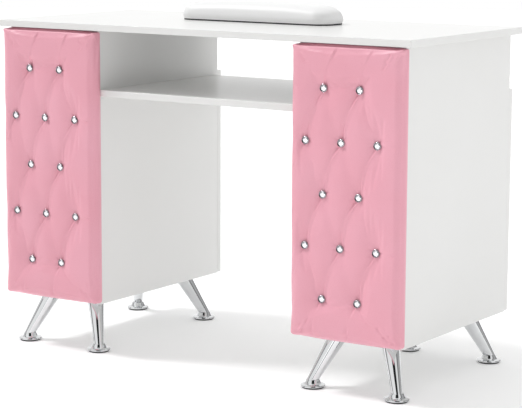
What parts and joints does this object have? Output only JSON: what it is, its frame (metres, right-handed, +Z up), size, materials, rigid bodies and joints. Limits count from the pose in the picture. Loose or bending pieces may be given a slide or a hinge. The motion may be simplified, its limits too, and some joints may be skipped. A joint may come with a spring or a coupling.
{
  "type": "manicure table",
  "caption": "Two-pedestal manicure table with a long white top, button-tufted pink client-side panels, a shelf in the knee space, rear doors, splayed chrome legs and a wrist cushion.",
  "frame": {"origin": "on the floor, under the middle of the whole object's box", "axes": "+X along the top, -Y towards the client (tufted side), +Y towards the technician (door side), +Z up"},
  "size_m": [1.1, 0.535, 0.813],
  "materials": {
    "white_laminate": "white melamine-faced chipboard, semi-matt, edges banded in the same white",
    "backing_board": "raw fibreboard",
    "pink_leatherette": "pink polyurethane leatherette, button tufted, satin",
    "white_leatherette": "white polyurethane leatherette, satin",
    "black_base": "black rubber, matt",
    "crystal": "clear faceted crystal",
    "chrome": "polished chrome plate",
    "zinc_steel": "nickel-plated steel",
    "cam_zinc": "die-cast zinc, dull",
    "beech": "fluted beech dowel"
  },
  "bodies": {
    "table": {"button_washers": "zinc_steel", "cam_bolts": "zinc_steel", "cam_locks": "cam_zinc", "dowels": "beech", "foot_glides": "black_base", "hinge_screws": "zinc_steel", "knee_shelf": "white_laminate", "left_bottom_board": "white_laminate", "left_button_crystals": "crystal", "left_button_shells": "chrome", "left_divider_shelf": "white_laminate", "left_feet": "chrome", "left_front_inner_leg": "chrome", "left_front_outer_leg": "chrome", "left_front_panel": "white_laminate", "left_hinge_arms": "zinc_steel", "left_inner_side": "white_laminate", "left_inside_shelf": "white_laminate", "left_outer_side": "white_laminate", "left_pad_board": "backing_board", "left_rear_inner_leg": "chrome", "left_rear_outer_leg": "chrome", "left_tufted_pad": "pink_leatherette", "leg_screws": "zinc_steel", "pad_screws": "zinc_steel", "right_bottom_board": "white_laminate", "right_button_crystals": "crystal", "right_button_shells": "chrome", "right_divider_shelf": "white_laminate", "right_feet": "chrome", "right_front_inner_leg": "chrome", "right_front_outer_leg": "chrome", "right_front_panel": "white_laminate", "right_hinge_arms": "zinc_steel", "right_inner_side": "white_laminate", "right_inside_shelf": "white_laminate", "right_outer_side": "white_laminate", "right_pad_board": "backing_board", "right_rear_inner_leg": "chrome", "right_rear_outer_leg": "chrome", "right_tufted_pad": "pink_leatherette", "shelf_pins": "zinc_steel", "tabletop": "white_laminate"},
    "left_door": {"left_door": "white_laminate", "left_door_knob": "chrome", "left_knob_screw": "zinc_steel", "left_hinge_cups": "zinc_steel", "left_cup_screws": "zinc_steel"},
    "right_door": {"right_door": "white_laminate", "right_door_knob": "chrome", "right_knob_screw": "zinc_steel", "right_hinge_cups": "zinc_steel", "right_cup_screws": "zinc_steel"},
    "left_hinge_link": {"left_hinge_links": "zinc_steel"},
    "right_hinge_link": {"right_hinge_links": "zinc_steel"},
    "left_hinge_lever": {"left_hinge_levers": "zinc_steel"},
    "right_hinge_lever": {"right_hinge_levers": "zinc_steel"},
    "wrist_rest": {"wrist_cushion": "white_leatherette", "cushion_base": "black_base"}
  },
  "joints": [
    {"name": "left_door_hinge", "type": "hinge", "parent": "table", "child": "left_door", "pos_m": [-0.5285, 0.2305, 0.372], "axis": [0, 0, 1], "range_deg": [0, 100]},
    {"name": "left_link_pivot", "type": "hinge", "parent": "table", "child": "left_hinge_link", "pos_m": [-0.5073, 0.2207, 0.372], "axis": [0, 0, 1], "range_deg": [0, 100]},
    {"name": "left_lever_pivot", "type": "hinge", "parent": "left_hinge_link", "child": "left_hinge_lever", "pos_m": [-0.4853, 0.2237, 0.372], "axis": [0, 0, 1], "range_deg": [-100, 0]},
    {"name": "right_door_hinge", "type": "hinge", "parent": "table", "child": "right_door", "pos_m": [0.5285, 0.2305, 0.372], "axis": [0, 0, -1], "range_deg": [0, 100]},
    {"name": "right_link_pivot", "type": "hinge", "parent": "table", "child": "right_hinge_link", "pos_m": [0.5073, 0.2207, 0.372], "axis": [0, 0, -1], "range_deg": [0, 100]},
    {"name": "right_lever_pivot", "type": "hinge", "parent": "right_hinge_link", "child": "right_hinge_lever", "pos_m": [0.4853, 0.2237, 0.372], "axis": [0, 0, -1], "range_deg": [-100, 0]},
    {"name": "wrist_cushion_lift", "type": "slide", "parent": "table", "child": "wrist_rest", "axis": [0, 0, 1], "range_m": [0, 0.2]}
  ],
  "couplings": [
    {"joint": "left_link_pivot", "follows": "left_door_hinge", "ratio": 1},
    {"joint": "left_lever_pivot", "follows": "left_door_hinge", "ratio": -1},
    {"joint": "right_link_pivot", "follows": "right_door_hinge", "ratio": 1},
    {"joint": "right_lever_pivot", "follows": "right_door_hinge", "ratio": -1}
  ]
}
